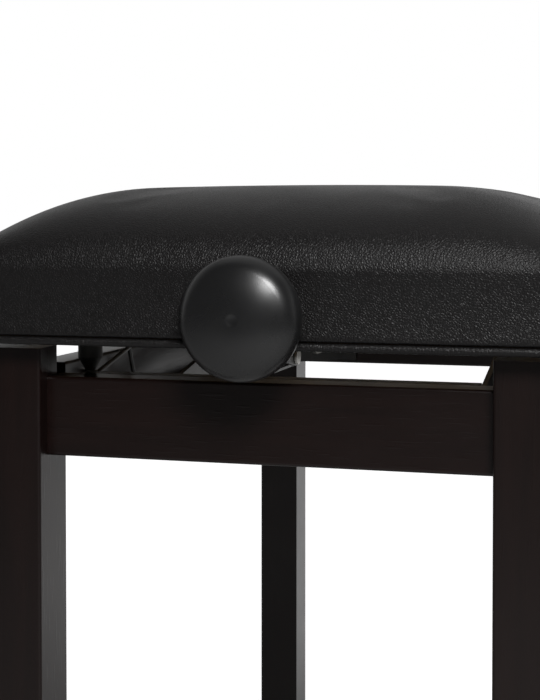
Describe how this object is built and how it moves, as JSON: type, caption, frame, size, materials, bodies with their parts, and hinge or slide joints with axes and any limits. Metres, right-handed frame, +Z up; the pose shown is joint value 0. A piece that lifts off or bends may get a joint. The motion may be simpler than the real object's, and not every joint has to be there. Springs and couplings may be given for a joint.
{
  "type": "piano bench",
  "caption": "Adjustable piano bench: a padded seat raised by a screw-driven scissor lift on a dark wooden frame with straight legs.",
  "frame": {"origin": "on the floor under the middle of the bench, seat at its lowest height", "axes": "+X along the bench towards the right-hand knob, +Y from the front to the rear, +Z up"},
  "size_m": [0.628, 0.3234, 0.48],
  "materials": {
    "dark_wood": "satin lacquer",
    "glide_plastic": "matt",
    "plywood": "raw",
    "black_leather": "pebbled leatherette",
    "brass": "turned",
    "buffer_rubber": "matt",
    "knob_plastic": "gloss",
    "bush_plastic": "matt nylon",
    "zinc_steel": "zinc plated",
    "black_steel": "satin black"
  },
  "bodies": {
    "frame": {"base_pivot_pins": "zinc_steel", "base_track_front": "black_steel", "base_track_rear": "black_steel", "base_track_screws": "zinc_steel", "corner_bracket_front_left": "black_steel", "corner_bracket_front_right": "black_steel", "corner_bracket_rear_left": "black_steel", "corner_bracket_rear_right": "black_steel", "end_rail_left": "dark_wood", "end_rail_right": "dark_wood", "foot_glide_front_left": "glide_plastic", "foot_glide_front_right": "glide_plastic", "foot_glide_rear_left": "glide_plastic", "foot_glide_rear_right": "glide_plastic", "guard_wires": "black_steel", "hanger_bolts": "zinc_steel", "hanger_nuts": "zinc_steel", "leg_front_left": "dark_wood", "leg_front_right": "dark_wood", "leg_rear_left": "dark_wood", "leg_rear_right": "dark_wood", "side_rail_front": "dark_wood", "side_rail_rear": "dark_wood", "tie_bar_left": "black_steel", "tie_bar_right": "black_steel"},
    "seat": {"seat_board": "plywood", "seat_cover": "black_leather", "seat_cushion": "black_leather", "seat_end_board_left": "plywood", "seat_end_board_right": "plywood", "seat_piping": "black_leather", "seat_pivot_pins": "zinc_steel", "seat_side_board_front": "plywood", "seat_side_board_rear": "plywood", "seat_track_front": "black_steel", "seat_track_rear": "black_steel", "seat_track_screws": "zinc_steel", "spindle_bush_left": "bush_plastic", "spindle_bush_right": "bush_plastic", "stop_buffers": "buffer_rubber"},
    "outer_arms": {"centre_pins": "zinc_steel", "outer_arm_front": "black_steel", "outer_arm_rear": "black_steel"},
    "inner_arms": {"base_slide_bush_front": "bush_plastic", "base_slide_bush_rear": "bush_plastic", "inner_arm_front": "black_steel", "inner_arm_rear": "black_steel", "slide_rod": "zinc_steel"},
    "traveller": {"seat_slide_bush_front": "bush_plastic", "seat_slide_bush_rear": "bush_plastic", "traveller_bar": "black_steel", "traveller_nut": "brass"},
    "spindle": {"knob_insert_left": "brass", "knob_insert_right": "brass", "knob_left": "knob_plastic", "knob_right": "knob_plastic", "set_screws": "zinc_steel", "spindle_rod": "zinc_steel", "stop_collar_left": "zinc_steel", "stop_collar_right": "zinc_steel"}
  },
  "joints": [
    {"name": "seat_lift", "type": "slide", "parent": "frame", "child": "seat", "axis": [0, 0, 1], "range_m": [0, 0.09]},
    {"name": "knob_turn", "type": "hinge", "parent": "seat", "child": "spindle", "pos_m": [0, 0, 0.415], "axis": [1, 0, 0], "range_deg": [0, 3600]},
    {"name": "outer_arm_pivot", "type": "hinge", "parent": "frame", "child": "outer_arms", "pos_m": [-0.167, 0, 0.352], "axis": [0, -1, 0], "range_deg": [0, 15.94]},
    {"name": "traveller_pivot", "type": "hinge", "parent": "outer_arms", "child": "traveller", "pos_m": [0.16711, 0, 0.415], "axis": [0, -1, 0], "range_deg": [-15.94, 0]},
    {"name": "inner_arm_pivot", "type": "hinge", "parent": "seat", "child": "inner_arms", "pos_m": [-0.167, 0, 0.415], "axis": [0, 1, 0], "range_deg": [0, 15.94]}
  ],
  "couplings": [
    {"joint": "knob_turn", "follows": "seat_lift", "rad_per_m": 698.13},
    {"joint": "outer_arm_pivot", "follows": "seat_lift", "rad_per_m": 3.0897},
    {"joint": "traveller_pivot", "follows": "seat_lift", "rad_per_m": -3.0897},
    {"joint": "inner_arm_pivot", "follows": "seat_lift", "rad_per_m": 3.0897}
  ]
}
